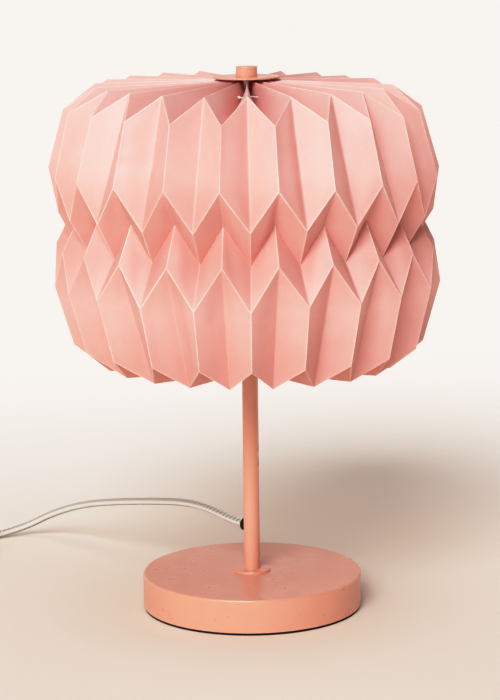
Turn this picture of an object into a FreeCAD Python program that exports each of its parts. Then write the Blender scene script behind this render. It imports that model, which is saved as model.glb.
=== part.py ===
import FreeCAD, Part
import math
import os

from FreeCAD import Vector as V

os.makedirs("parts", exist_ok=True)

# ---------------------------------------------------------------------------
# Pleated paper table lamp. Millimetres, +Z up, origin on the table top at the
# stem's axis. -Y is the front.
# ---------------------------------------------------------------------------

# base
BASE_R = 90.0            # disc radius
PAD_R, PAD_T = 89.2, 2.0
BASE_TOP = 29.2
SHEET_T = 1.2            # pressed steel
BASE_EDGE_R = 1.8
WEIGHT_R = 88.4
RECESS_R, RECESS_TOP = 16.0, 12.0
BOLT_R, BOLT_HEAD_AF, BOLT_HEAD_T = 4.0, 13.0, 5.4

# stem
STEM_R, STEM_BORE_R = 6.6, 5.0
STEM_TOP = 229.0
COLLAR_R, COLLAR_T = 15.0, 1.8
NIPPLE_R, NIPPLE_BORE_R = 4.98, 3.9

# cable exit
GROMMET_Z = 67.0
GROMMET_AZ = 40.0        # degrees from +Y towards -X
GROMMET_R = 5.4
GROMMET_OUT = 9.2        # outer face, from the stem's axis
GROMMET_IN = 4.4
CORD_D = 6.4

# harp strap round the bulb
STRAP_T, STRAP_W = 1.5, 10.0
STRAP_IN_X = 41.0
STRAP_TOP = 400.5
STRAP_BEND = 14.0

# lamp holder and bulb
HOLDER_R = 20.0
HOLDER_BASE = STEM_TOP + STRAP_T + 3.0
SKIRT_TOP = 292.0
BULB_R = 30.0
BULB_C = 338.0
BULB_CAP_R = 13.2

# shade hub
STUD_R, STUD_TOP = 3.0, 442.0
HUB_BORE_R = 3.4
SUPPORT_R, SUPPORT_Z, SUPPORT_T = 24.0, 405.55, 1.45
SLEEVE_R = 5.5
CAP_R, CAP_BOT, CAP_TOP = 26.6, 435.4, 436.9
FINIAL_R, FINIAL_BOT, FINIAL_TOP = 8.64, 436.95, 444.9

# paper shade: a sheet with 22 pleats, creased in chevrons. Radius and height
# of the two kinds of fold line at each zigzag crease, top inner edge first.
PLEATS = 22
PHASE = 0.394            # degrees, azimuth of the front fold line
PAPER_T = 0.32
FOLD_A = [(10.0, 434.2), (118.7, 429.9), (151.9, 330.7), (135.6, 303.4),
          (155.8, 272.8), (142.6, 223.6), (55.5, 225.5)]
FOLD_B = [(8.0, 409.0), (142.9, 410.8), (156.1, 361.9), (136.5, 333.9),
          (152.2, 303.9), (116.7, 204.7), (55.0, 200.4)]
STRING_R, STRING_Z, STRING_D = 37.0, 423.0, 1.1

# mains lead: route of the stretch that isn't coiled
EX = V(-math.sin(math.radians(GROMMET_AZ)), math.cos(math.radians(GROMMET_AZ)), 0)
LEAD_A = [(EX.x * GROMMET_IN, EX.y * GROMMET_IN, GROMMET_Z),
          (-16.7, 19.9, 67.2), (-35.0, 44.0, 71.0), (-56.0, 74.0, 69.3),
          (-84.0, 113.0, 60.6), (-117.0, 152.0, 51.0), (-151.0, 191.0, 39.3),
          (-180.5, 218.5, 24.6), (-206.0, 229.0, 9.6), (-230.5, 223.0, 3.4),
          (-246.3, 208.2, 3.6), (-252.9, 192.2, 5.6), (-251.9, 175.0, 7.0)]
SWITCH_W = 27.0
PIN_R, PIN_BORE_R = 1.1, 1.25      # rocker's pivot pins and their bores
LEAD_B = [(-248.18, 114.1, 7.0), (-247.1, 99.5, 5.6), (-246.4, 84.5, 4.5),
          (-246.2, 70.0, 4.2)]
COIL_C = (-284.0, 62.0)
COIL_MID_R, COIL_HALF_W = 32.6, 9.9
COIL_Z0, COIL_Z1 = 1.0, 14.0
TAIL = [(-245.3, 57.0, 10.7), (-246.3, 40.0, 10.0), (-247.5, 22.0, 8.0),
        (-247.5, 6.0, 7.0)]
PLUG_X, PLUG_Z = -247.5, 7.0

parts = {}


def put(name, shape):
    shape = shape.removeSplitter() if shape.ShapeType != "Compound" else shape
    parts[name] = shape


def cyl(r, z0, z1, x=0.0, y=0.0):
    return Part.makeCylinder(r, z1 - z0, V(x, y, z0))


def tube(r_out, r_in, z0, z1):
    return cyl(r_out, z0, z1).cut(cyl(r_in, z0 - 1, z1 + 1))


def box(x0, x1, y0, y1, z0, z1):
    return Part.makeBox(x1 - x0, y1 - y0, z1 - z0, V(x0, y0, z0))


def hexagon(af, z0, z1, x=0.0, y=0.0, turn=0.0):
    r = af / 2 / math.cos(math.pi / 6)
    pts = [V(x + r * math.cos(turn + i * math.pi / 3), y + r * math.sin(turn + i * math.pi / 3), z0)
           for i in range(7)]
    pts[-1] = pts[0]
    return Part.Face(Part.makePolygon(pts)).extrude(V(0, 0, z1 - z0))


def lathe(profile):
    """Turn a closed profile of (r, z) points round the Z axis. A point given as
    (r, z, mid_r, mid_z) is reached by an arc through the middle point."""
    edges = []
    last = V(profile[0][0], 0, profile[0][1])
    first = last
    for p in profile[1:] + [profile[0]]:
        here = V(p[0], 0, p[1])
        if len(p) == 4 and p is not profile[0]:
            edges.append(Part.Arc(last, V(p[2], 0, p[3]), here).toShape())
        else:
            if (here - last).Length > 1e-6:
                edges.append(Part.LineSegment(last, here).toShape())
        last = here
    face = Part.Face(Part.Wire(edges))
    return face.revolve(V(0, 0, 0), V(0, 0, 1), 360)


def corner(cx, cz, r, a0, a1):
    """End and middle point of a fillet arc about (cx, cz), angles in degrees."""
    am = (a0 + a1) / 2
    return (cx + r * math.cos(math.radians(a1)), cz + r * math.sin(math.radians(a1)),
            cx + r * math.cos(math.radians(am)), cz + r * math.sin(math.radians(am)))


def rounded_path(points, radii=None, label=None):
    """Straight runs joined by tangent arcs, each arc as large as its runs allow."""
    p = [V(*q) for q in points]
    edges, start, found = [], p[0], []
    for i in range(1, len(p) - 1):
        a, b = p[i] - p[i - 1], p[i + 1] - p[i]
        turn = a.getAngle(b)
        trim = 0.45 * min(a.Length, b.Length)
        r = trim / math.tan(turn / 2)
        if radii:
            r = radii[i - 1]
            trim = r * math.tan(turn / 2)
        found.append(round(r, 1))
        t0 = p[i] - V(a).normalize() * trim
        t1 = p[i] + V(b).normalize() * trim
        inward = (V(b).normalize() - V(a).normalize()).normalize()
        mid = p[i] + inward * (r / math.cos(turn / 2) - r)
        edges.append(Part.LineSegment(start, t0).toShape())
        edges.append(Part.Arc(t0, mid, t1).toShape())
        start = t1
    edges.append(Part.LineSegment(start, p[-1]).toShape())
    wire = Part.Wire(edges)
    if label:
        print(label, "radii", found, "length", round(wire.Length, 1))
    return wire


def swept(wire, r, first_direction):
    start = wire.Edges[0].Vertexes[0].Point
    ring = Part.Wire([Part.makeCircle(r, start, first_direction)])
    solid = wire.makePipeShell([ring], True, True)
    return solid


def lead(points, r, radii=None, label=None):
    wire = rounded_path(points, radii, label)
    p0, p1 = V(*points[0]), V(*points[1])
    solid = swept(wire, r, p1 - p0)
    if label:
        print(label, "volume", round(solid.Volume, 1), "section x length",
              round(math.pi * r * r * wire.Length, 1), "valid", solid.isValid())
    return solid, wire.Length


# ---------------------------------------------------------------------------
# Base: pressed cover over a cement weight, foam pad glued underneath
# ---------------------------------------------------------------------------
put("base_pad", cyl(PAD_R, 0, PAD_T))

e = BASE_EDGE_R
ei = e - SHEET_T + 0.6
put("base_cover", lathe([
    (BASE_R, PAD_T),
    (BASE_R, BASE_TOP - e),
    corner(BASE_R - e, BASE_TOP - e, e, 0, 90),
    (BOLT_R + 0.3, BASE_TOP),
    (BOLT_R + 0.3, BASE_TOP - SHEET_T),
    (BASE_R - SHEET_T - ei, BASE_TOP - SHEET_T),
    corner(BASE_R - SHEET_T - ei, BASE_TOP - SHEET_T - ei, ei, 90, 0),
    (BASE_R - SHEET_T, PAD_T)]))

weight_top = BASE_TOP - SHEET_T
put("base_weight", lathe([
    (RECESS_R, PAD_T), (WEIGHT_R, PAD_T), (WEIGHT_R, weight_top - 2.0),
    (WEIGHT_R - 2.0, weight_top), (BOLT_R + 0.6, weight_top),
    (BOLT_R + 0.6, RECESS_TOP), (RECESS_R, RECESS_TOP)]))

bolt_head_top = RECESS_TOP - 2.2
put("base_flat_washer", tube(12.0, BOLT_R + 0.2, RECESS_TOP - 1.4, RECESS_TOP))
put("base_lock_washer", tube(7.4, BOLT_R + 0.2, bolt_head_top, RECESS_TOP - 1.4))
put("base_bolt", hexagon(BOLT_HEAD_AF, bolt_head_top - BOLT_HEAD_T, bolt_head_top)
    .fuse(cyl(BOLT_R, bolt_head_top - 0.01, BASE_TOP + 16.0)))

# ---------------------------------------------------------------------------
# Stem, its collar and what is in it
# ---------------------------------------------------------------------------
stem = tube(STEM_R, STEM_BORE_R, BASE_TOP, STEM_TOP)
hole = Part.makeCylinder(4.1, STEM_R + 4, V(0, 0, GROMMET_Z), EX)
put("stem_tube", stem.cut(hole))
put("stem_foot_bush", tube(STEM_BORE_R - 0.02, BOLT_R + 0.02, BASE_TOP, BASE_TOP + 18))
put("stem_collar", lathe([
    (STEM_R + 0.02, BASE_TOP), (COLLAR_R, BASE_TOP), (COLLAR_R, BASE_TOP + COLLAR_T - 0.9),
    corner(COLLAR_R - 0.9, BASE_TOP + COLLAR_T - 0.9, 0.9, 0, 90),
    (STEM_R + 0.02, BASE_TOP + COLLAR_T)]))
put("top_nipple", tube(NIPPLE_R, NIPPLE_BORE_R, STEM_TOP - 16, HOLDER_BASE + 7))

flange = Part.makeCylinder(GROMMET_R, GROMMET_OUT - 3.0, V(0, 0, GROMMET_Z) + EX * 3.0, EX)
rim = [ed for ed in flange.Edges
       if ed.Curve.TypeId == "Part::GeomCircle" and (ed.Curve.Center - V(0, 0, GROMMET_Z)).Length > GROMMET_OUT - 0.1]
flange = flange.makeFillet(0.9, rim)
flange = flange.cut(cyl(STEM_R + 0.02, GROMMET_Z - 20, GROMMET_Z + 20))
neck = Part.makeCylinder(4.05, STEM_R + 1.0 - GROMMET_IN, V(0, 0, GROMMET_Z) + EX * GROMMET_IN, EX)
bore = Part.makeCylinder(CORD_D / 2, 30, V(0, 0, GROMMET_Z), EX)
put("cord_grommet", flange.fuse(neck).cut(bore))

side = V(-EX.y, EX.x, 0)
for name, s in (("lead_live", 1), ("lead_neutral", -1)):
    off = side * (1.35 * s)
    a = V(0, 0, GROMMET_Z) + EX * (GROMMET_IN - 0.05) + off
    b = V(0, 0, GROMMET_Z) + EX * -0.6 + off
    c = V(b.x, b.y, 236.0)
    d = V(off.x * 1.3 - 0.5 * EX.x, off.y * 1.3 - 0.5 * EX.y, 244.0)
    end = V(-7.0 * s, 0, 252.5)
    solid, _ = lead([a, b, c, d, end], 1.1, [3.6, 14.0, 7.5])
    put(name, solid)

# ---------------------------------------------------------------------------
# Harp strap, its stud and nuts
# ---------------------------------------------------------------------------


def loop(x, z0, z1, r, y0, y1):
    """A rounded rectangle in the XZ plane, extruded along Y."""
    k = r * (1 - math.sqrt(0.5))
    e = []
    pts = [V(-x + r, y0, z0), V(x - r, y0, z0), V(x, y0, z0 + r), V(x, y0, z1 - r),
           V(x - r, y0, z1), V(-x + r, y0, z1), V(-x, y0, z1 - r), V(-x, y0, z0 + r)]
    mids = [V(x - k, y0, z0 + k), V(x - k, y0, z1 - k), V(-x + k, y0, z1 - k), V(-x + k, y0, z0 + k)]
    for i in range(4):
        e.append(Part.LineSegment(pts[2 * i], pts[2 * i + 1]).toShape())
        e.append(Part.Arc(pts[2 * i + 1], mids[i], pts[(2 * i + 2) % 8]).toShape())
    return Part.Face(Part.Wire(e)).extrude(V(0, y1 - y0, 0))


outer = loop(STRAP_IN_X + STRAP_T, STEM_TOP, STRAP_TOP, STRAP_BEND + STRAP_T, -STRAP_W / 2, STRAP_W / 2)
inner = loop(STRAP_IN_X, STEM_TOP + STRAP_T, STRAP_TOP - STRAP_T, STRAP_BEND, -STRAP_W, STRAP_W)
strap = outer.cut(inner)
pad = cyl(9.5, STEM_TOP, STEM_TOP + STRAP_T)
strap = strap.fuse(pad).cut(cyl(NIPPLE_R + 0.1, STEM_TOP - 1, STEM_TOP + STRAP_T + 1))
strap = strap.cut(cyl(STUD_R + 0.1, STRAP_TOP - 4, STRAP_TOP + 4))
put("harp_strap", strap)

put("holder_lock_nut", hexagon(15.0, STEM_TOP + STRAP_T, HOLDER_BASE)
    .cut(cyl(NIPPLE_R + 0.02, STEM_TOP, HOLDER_BASE + 1)))
put("stud_nut", hexagon(10.0, STRAP_TOP, STRAP_TOP + 5.0).cut(cyl(STUD_R + 0.02, STRAP_TOP - 1, STRAP_TOP + 6)))
put("shade_stud", hexagon(10.0, STRAP_TOP - STRAP_T - 4.0, STRAP_TOP - STRAP_T)
    .fuse(cyl(STUD_R, STRAP_TOP - STRAP_T - 0.01, STUD_TOP - 0.6))
    .fuse(Part.makeCone(STUD_R, STUD_R - 0.6, 0.6, V(0, 0, STUD_TOP - 0.6))))

# ---------------------------------------------------------------------------
# Lamp holder
# ---------------------------------------------------------------------------
hb = HOLDER_BASE
put("holder_cap", lathe([
    (NIPPLE_R + 0.02, hb), (12.0, hb), (16.5, hb + 4.0), (19.4, hb + 10.0), (HOLDER_R, hb + 17.0),
    (18.1, hb + 17.0), (18.1, hb + 23.0), (16.4, hb + 23.0), (16.4, hb + 12.0),
    (14.0, hb + 6.0), (11.0, hb + 2.4), (8.0, hb + 2.4), (8.0, hb + 8.0), (NIPPLE_R + 0.02, hb + 8.0)]))
put("holder_skirt", lathe([
    (18.3, hb + 17.0), (HOLDER_R, hb + 17.0), (HOLDER_R, SKIRT_TOP - 4), (HOLDER_R + 1.2, SKIRT_TOP - 3),
    (HOLDER_R + 1.2, SKIRT_TOP - 0.8), corner(HOLDER_R + 0.4, SKIRT_TOP - 0.8, 0.8, 0, 90),
    (17.6, SKIRT_TOP), (17.6, hb + 33.5), (18.3, hb + 33.5)]))
insert = cyl(17.5, hb + 23.0, hb + 31.5).fuse(tube(17.5, 14.5, hb + 31.5, hb + 48.0))
for x in (-7.0, 7.0):
    insert = insert.cut(cyl(1.5, hb + 20, hb + 28.0, x, 0))
put("holder_insert", insert)
put("holder_screw_shell", tube(14.4, 13.75, hb + 31.5, hb + 50.0))
tongue = box(-6.0, 6.0, -2.0, 2.0, hb + 31.5, hb + 32.1)
bent = Part.Face(Part.makePolygon([V(-5.0, -2, hb + 32.1), V(-3.6, -2, hb + 32.1), V(2.6, -2, hb + 34.9),
                                   V(2.6, -2, hb + 35.5), V(1.6, -2, hb + 35.5), V(-5.0, -2, hb + 32.1)])).extrude(V(0, 4, 0))
put("holder_centre_contact", tongue.fuse(bent))
screws = []
for x in (-7.0, 7.0):
    head = cyl(2.8, hb + 20.4, hb + 23.0, x, 0).cut(box(x - 3, x + 3, -0.4, 0.4, hb + 20.3, hb + 21.2))
    screws.append(head.fuse(cyl(1.48, hb + 22.9, hb + 27.5, x, 0)))
put("holder_terminal_screws", Part.makeCompound(screws))

# ---------------------------------------------------------------------------
# Bulb
# ---------------------------------------------------------------------------
cap0 = hb + 36.6
profile = [(4.6, cap0), (9.0, cap0), (12.2, cap0 + 3.0), (12.2, cap0 + 3.6)]   # rolled thread
z = cap0 + 3.6
while z < cap0 + 17.0:
    profile += [(BULB_CAP_R, z + 1.0), (12.35, z + 2.7)]
    z += 3.4
profile += [(12.9, z + 0.4), (12.9, cap0 + 22.0), (11.6, cap0 + 22.0), (11.6, cap0 + 3.4), (9.0, cap0 + 0.9),
            (4.6, cap0 + 0.9)]
put("bulb_cap", lathe(profile))
put("bulb_tip_contact", lathe([(0, cap0 - 0.7), (2.6, cap0 - 0.7), (4.6, cap0), (4.6, cap0 + 4.0), (0, cap0 + 4.0)]))
h0 = cap0 + 22.0
joint_z = BULB_C - 17.0
joint_r = math.sqrt(BULB_R ** 2 - 17.0 ** 2)
put("bulb_housing", lathe([
    (0, h0), (13.6, h0), (14.6, h0 + 3.0), (16.0, h0 + 8.0, 15.1, h0 + 5.5), (joint_r - 0.2, joint_z, 20.2, h0 + 18.0),
    (joint_r - 1.4, joint_z), (0, joint_z)]))
mid = math.radians(20)
put("bulb_glass", lathe([
    (joint_r, joint_z), (0, BULB_C + BULB_R, BULB_R * math.cos(mid), BULB_C + BULB_R * math.sin(mid)),
    (0, BULB_C + BULB_R - 1.2),
    (joint_r - 1.3, joint_z, (BULB_R - 1.2) * math.cos(mid), BULB_C + (BULB_R - 1.2) * math.sin(mid))]))

# ---------------------------------------------------------------------------
# Shade hub: the paper's inner edge turns between two discs on a sleeve
# ---------------------------------------------------------------------------
put("support_disc", tube(SUPPORT_R, HUB_BORE_R, SUPPORT_Z, SUPPORT_Z + SUPPORT_T))
put("spacer_sleeve", tube(SLEEVE_R, HUB_BORE_R, SUPPORT_Z + SUPPORT_T, CAP_BOT))
put("cap_disc", lathe([
    (HUB_BORE_R, CAP_BOT), (CAP_R - 0.5, CAP_BOT), corner(CAP_R - 0.5, CAP_BOT + 0.5, 0.5, -90, 0),
    (CAP_R, CAP_TOP - 0.5), corner(CAP_R - 0.5, CAP_TOP - 0.5, 0.5, 0, 90), (HUB_BORE_R, CAP_TOP)]))
put("finial", lathe([
    (HUB_BORE_R, FINIAL_BOT), (FINIAL_R, FINIAL_BOT), (FINIAL_R, FINIAL_TOP - 0.6),
    corner(FINIAL_R - 0.6, FINIAL_TOP - 0.6, 0.6, 0, 90), (0, FINIAL_TOP), (0, STUD_TOP + 0.8),
    (HUB_BORE_R, STUD_TOP + 0.8)]))

# ---------------------------------------------------------------------------
# Paper shade: one closed thin solid of flat facets
# ---------------------------------------------------------------------------


def fold_point(kind, j, k):
    r, zz = (FOLD_A if kind == 0 else FOLD_B)[j]
    a = math.radians(PHASE) + (k + 0.5 * kind) * 2 * math.pi / PLEATS
    return V(r * math.sin(a), -r * math.cos(a), zz)


LEVELS = len(FOLD_A)


def normal(a, b, c):
    return (b - a).cross(c - a).normalize()


def panel_triangles(kind, j, k):
    """Two facets between fold line (kind, k) and the next one, level j to j + 1,
    with outward normals."""
    nk, kk = (1, k) if kind == 0 else (0, k + 1)
    a, b = (kind, j, k), (nk, j, kk)
    c, d = (nk, j + 1, kk), (kind, j + 1, k)
    return [(a, d, b), (d, c, b)] if kind == 0 else [(a, c, b), (a, d, c)]


facets = []
for k in range(PLEATS):
    for kind in (0, 1):
        for j in range(LEVELS - 1):
            facets += panel_triangles(kind, j, k)


def key(t):
    return (t[0], t[1], t[2] % PLEATS)


# outward direction and reach of each fold point, from the facets round line 0 of its kind
offsets = {}
for kind in (0, 1):
    for j in range(LEVELS):
        n, faces = V(0, 0, 0), []
        for t in facets:
            if (kind, j, 0) in [key(q) for q in t]:
                p = [fold_point(*q) for q in t]
                i = [key(q) for q in t].index((kind, j, 0))
                f = normal(*p)
                w = (p[(i + 1) % 3] - p[i]).getAngle(p[(i + 2) % 3] - p[i])
                n += f * w
                faces.append(f)
        n.normalize()
        least = min(n.dot(f) for f in faces)
        reach = min(0.55, PAPER_T / 2 / max(least, 0.2))
        a = math.radians(PHASE) + 0.5 * kind * 2 * math.pi / PLEATS
        offsets[(kind, j)] = (reach * (n.x * math.sin(a) - n.y * math.cos(a)), reach * n.z)

verts, index = [], {}
for s in (1, -1):
    for k in range(PLEATS):
        for kind in (0, 1):
            for j in range(LEVELS):
                r, zz = (FOLD_A if kind == 0 else FOLD_B)[j]
                dr, dz = offsets[(kind, j)]
                r, zz = r + s * dr, zz + s * dz
                a = math.radians(PHASE) + (k + 0.5 * kind) * 2 * math.pi / PLEATS
                index[(s, kind, j, k)] = len(verts)
                verts.append(V(r * math.sin(a), -r * math.cos(a), zz))
tris = []
for t in facets:
    ks = [key(q) for q in t]
    tris.append(tuple(index[(1,) + q] for q in ks))
    tris.append(tuple(index[(-1,) + q] for q in reversed(ks)))
for j in (0, LEVELS - 1):
    for k in range(PLEATS):
        for kind in (0, 1):
            a = (kind, j, k)
            b = (1, j, k) if kind == 0 else (0, j, (k + 1) % PLEATS)
            oa, ob, ia, ib = (index[(1,) + a], index[(1,) + b], index[(-1,) + a], index[(-1,) + b])
            quad = [(oa, ob, ib), (oa, ib, ia)]
            if j == 0:
                tris += quad
            else:
                tris += [tuple(reversed(q)) for q in quad]
shell = Part.Shape()
shell.makeShapeFromMesh((verts, tris), 0.001)
paper = Part.Solid(Part.Shell(shell.Faces))
if paper.Volume < 0:
    paper.reverse()
print("paper volume", round(paper.Volume, 1), "area", round(paper.Area / 2, 1), "valid", paper.isValid(), "faces", len(paper.Faces))
parts["paper_shade"] = paper

put("gather_string", Part.makeTorus(STRING_R, STRING_D / 2, V(0, 0, STRING_Z)))

# ---------------------------------------------------------------------------
# Mains lead, inline switch, coil, plug
# ---------------------------------------------------------------------------
R = CORD_D / 2
solid, len_a = lead(LEAD_A, R, label="lead a")
put("cord_lead_a", solid)
solid, len_b = lead(LEAD_B, R, label="lead b")
put("cord_lead_b", solid)
solid, len_t = lead(TAIL, R, label="tail")
put("cord_tail", solid)
coil_len = 2 * 2 * math.pi * (39.2 + 32.6 + 26.0) + math.radians(25) * 39.2
switch_len = (V(*LEAD_A[-1]) - V(*LEAD_B[0])).Length
print("mains lead in all", round(len_a + switch_len + len_b + coil_len + len_t, 1))

cx, cy = COIL_C
m0, m1, w = COIL_MID_R - COIL_HALF_W, COIL_MID_R + COIL_HALF_W, 3.0
coil = lathe([
    (m0, COIL_Z0 + w), corner(m0 + w, COIL_Z0 + w, w, 180, 270), (m1 - w, COIL_Z0),
    corner(m1 - w, COIL_Z0 + w, w, -90, 0), (m1, COIL_Z1 - w), corner(m1 - w, COIL_Z1 - w, w, 0, 90),
    (m0 + w, COIL_Z1), corner(m0 + w, COIL_Z1 - w, w, 90, 180)])
coil.translate(V(cx, cy, 0))
put("cord_coil", coil)
tie = box(cx - m1 - 1.0, cx - m0 + 1.0, cy - 6, cy + 6, 0.0, COIL_Z1 + 1.0)
tie = tie.makeFillet(2.6, [ed for ed in tie.Edges if abs(ed.Vertexes[0].Y - ed.Vertexes[1].Y) > 5])
put("coil_tie", tie.cut(coil))


def oriented(shape, centre, direction):
    """Turn a shape built along +X at the origin to lie along direction."""
    shape = shape.copy()
    shape.rotate(V(0, 0, 0), V(0, 0, 1), math.degrees(math.atan2(direction.y, direction.x)))
    shape.translate(centre)
    return shape


def soft_box(x, y, z0, z1, r_side, r_top=0.0, r_bottom=0.0):
    b = box(-x, x, -y, y, z0, z1)
    b = b.makeFillet(r_side, [ed for ed in b.Edges if abs(ed.Vertexes[0].Z - ed.Vertexes[1].Z) > 1])
    for r, zz in ((r_top, z1), (r_bottom, z0)):
        if r:
            b = b.makeFillet(r, [ed for ed in b.Edges
                                 if all(abs(q.Z - zz) < 1e-6 for q in ed.Vertexes)
                                 and abs(ed.BoundBox.ZMax - ed.BoundBox.ZMin) < 1e-6])
    return b


SWITCH_C = V((LEAD_A[-1][0] + LEAD_B[0][0]) / 2, (LEAD_A[-1][1] + LEAD_B[0][1]) / 2, 0)
half = (V(*LEAD_A[-1]) - V(*LEAD_B[0])).Length / 2
SDIR = (V(*LEAD_B[0]) - V(*LEAD_A[-1])).normalize()
split, top = 8.0, 18.4
low = soft_box(half, SWITCH_W / 2, 0, split, 6.0, 0, 1.2).cut(
    soft_box(half - 2.4, SWITCH_W / 2 - 1.8, 1.8, split + 1, 4.0))
for x in (-22.0, 22.0):
    post = cyl(3.2, 1.8, split, x, 0).cut(cyl(1.25, 1.0, split + 1, x, 0))
    low = low.fuse(post).cut(cyl(2.9, -1, 1.6, x, 0)).cut(cyl(1.6, -1, 3.0, x, 0))
high = soft_box(half, SWITCH_W / 2, split, top, 6.0, 3.0).cut(
    soft_box(half - 2.4, SWITCH_W / 2 - 1.8, split - 1, top - 2.0, 4.0))
high = high.cut(box(-10.8, 10.8, -5.8, 5.8, split, top + 2))
for x in (-22.0, 22.0):
    high = high.fuse(cyl(3.2, split, top - 1.9, x, 0)).cut(cyl(1.2, split - 1, split + 6, x, 0))
# two lugs under the cover's top carry the rocker's pins
PIVOT_Z = 15.2
for y in (-7.5, 5.8):
    high = high.fuse(box(-3.2, 3.2, y, y + 1.7, PIVOT_Z - 2.8, top - 1.8))
high = high.cut(Part.makeCylinder(PIN_BORE_R, 16.0, V(0, -8.0, PIVOT_Z), V(0, 1, 0)))
put("switch_base", oriented(low, SWITCH_C, SDIR))
put("switch_cover", oriented(high, SWITCH_C, SDIR))
sc = []
for x in (-22.0, 22.0):
    s = cyl(2.7, 0.3, 1.6, x, 0).fuse(cyl(1.18, 1.5, split + 5.0, x, 0)).cut(box(x - 3, x + 3, -0.3, 0.3, 0.0, 0.9))
    sc.append(oriented(s, SWITCH_C, SDIR))
put("switch_screws", Part.makeCompound(sc))
ct = []
for x in (-12.0, 12.0):
    c = box(x - 3.0, x + 3.0, -10.5, -5.0, 1.8, 2.6).fuse(box(x - 0.4, x + 0.4, -10.5, -5.0, 2.5, 7.0))
    ct.append(oriented(c, SWITCH_C, SDIR))
put("switch_contacts", Part.makeCompound(ct))
rock = Part.Face(Part.makePolygon([V(-9.4, -5.3, 3.9), V(-4.0, -5.3, 2.8), V(0, -5.3, 2.5), V(4.0, -5.3, 2.8),
                                   V(9.4, -5.3, 3.9), V(8.8, -5.3, -0.6), V(4.0, -5.3, -3.4), V(-4.0, -5.3, -3.4),
                                   V(-8.8, -5.3, -0.6), V(-9.4, -5.3, 3.9)])).extrude(V(0, 10.6, 0))
rock = rock.makeFillet(0.5, [ed for ed in rock.Edges if abs(ed.Vertexes[0].Y - ed.Vertexes[1].Y) > 5
                             and ed.Vertexes[0].Z > 2 and abs(ed.Vertexes[0].X) > 8])
rock = rock.fuse(Part.makeCylinder(PIN_R, 14.6, V(0, -7.3, 0), V(0, 1, 0)))
rock.rotate(V(0, 0, 0), V(0, 1, 0), -7.0)
rock.translate(V(0, 0, PIVOT_Z))
put("switch_rocker", oriented(rock, SWITCH_C, SDIR))
print("rocker pivot", SWITCH_C, "axis", V(-SDIR.y, SDIR.x, 0))

# plug: neck, flat body, two round pins
y0 = TAIL[-1][1]


def plug_section(y, hx, hz, r):
    b = Part.makePolygon
    e = []
    pts = [(-hx + r, -hz), (hx - r, -hz), (hx, -hz + r), (hx, hz - r), (hx - r, hz), (-hx + r, hz), (-hx, hz - r), (-hx, -hz + r)]
    c = [(hx - r, -hz + r), (hx - r, hz - r), (-hx + r, hz - r), (-hx + r, -hz + r)]
    a = [-45, 45, 135, 225]
    for i in range(4):
        p, q, n = pts[2 * i], pts[2 * i + 1], pts[(2 * i + 2) % 8]
        m = (c[i][0] + r * math.cos(math.radians(a[i])), c[i][1] + r * math.sin(math.radians(a[i])))
        e.append(Part.LineSegment(V(p[0], y, p[1]), V(q[0], y, q[1])).toShape())
        e.append(Part.Arc(V(q[0], y, q[1]), V(m[0], y, m[1]), V(n[0], y, n[1])).toShape())
    return Part.Wire(e)


sections = [plug_section(y0, 4.3, 4.3, 3.9), plug_section(y0 - 20, 5.6, 5.2, 4.6)]
neck = Part.makeLoft(sections, True, True)
body = Part.makeLoft([plug_section(y0 - 20, 7.0, 5.6, 4.6), plug_section(y0 - 30, 11.0, 6.6, 4.0),
                      plug_section(y0 - 46, 12.6, 6.9, 3.6)], True, False)
body2 = Part.makeLoft([plug_section(y0 - 46, 12.6, 6.9, 3.6), plug_section(y0 - 57, 12.9, 6.9, 3.6)], True, True)
pb = neck.fuse(body).fuse(body2)
pb.translate(V(PLUG_X, 0, PLUG_Z))
put("plug_body", pb)
pins = []
for x in (-9.4, 9.4):
    p = Part.makeCylinder(2.0, 17.5, V(PLUG_X + x, y0 - 57, PLUG_Z), V(0, -1, 0))
    p = p.fuse(Part.makeCone(2.0, 1.1, 1.5, V(PLUG_X + x, y0 - 57 - 17.5, PLUG_Z), V(0, -1, 0)))
    pins.append(p)
put("plug_pins", Part.makeCompound(pins))

for name, shape in parts.items():
    if not shape.isValid():
        print("NOT VALID", name)
    shape.exportStep("parts/%s.step" % name)
print(len(parts), "nodes")
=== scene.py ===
import math
import random

import bpy
import numpy as np
from mathutils import Matrix, Vector


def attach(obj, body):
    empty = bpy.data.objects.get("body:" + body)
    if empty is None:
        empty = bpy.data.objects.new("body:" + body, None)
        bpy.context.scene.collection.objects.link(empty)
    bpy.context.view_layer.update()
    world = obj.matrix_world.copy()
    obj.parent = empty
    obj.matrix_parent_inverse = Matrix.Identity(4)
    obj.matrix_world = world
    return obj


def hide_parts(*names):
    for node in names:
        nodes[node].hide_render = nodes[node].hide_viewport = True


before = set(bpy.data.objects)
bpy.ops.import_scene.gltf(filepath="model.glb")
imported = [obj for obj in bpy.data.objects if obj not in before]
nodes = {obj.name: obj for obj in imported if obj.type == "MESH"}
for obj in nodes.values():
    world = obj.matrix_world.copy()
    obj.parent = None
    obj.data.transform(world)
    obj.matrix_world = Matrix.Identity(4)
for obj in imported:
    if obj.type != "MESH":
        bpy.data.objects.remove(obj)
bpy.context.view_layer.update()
scene = bpy.context.scene
MM = 0.001
FLIP = False
rng = np.random.default_rng(2207)

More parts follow.
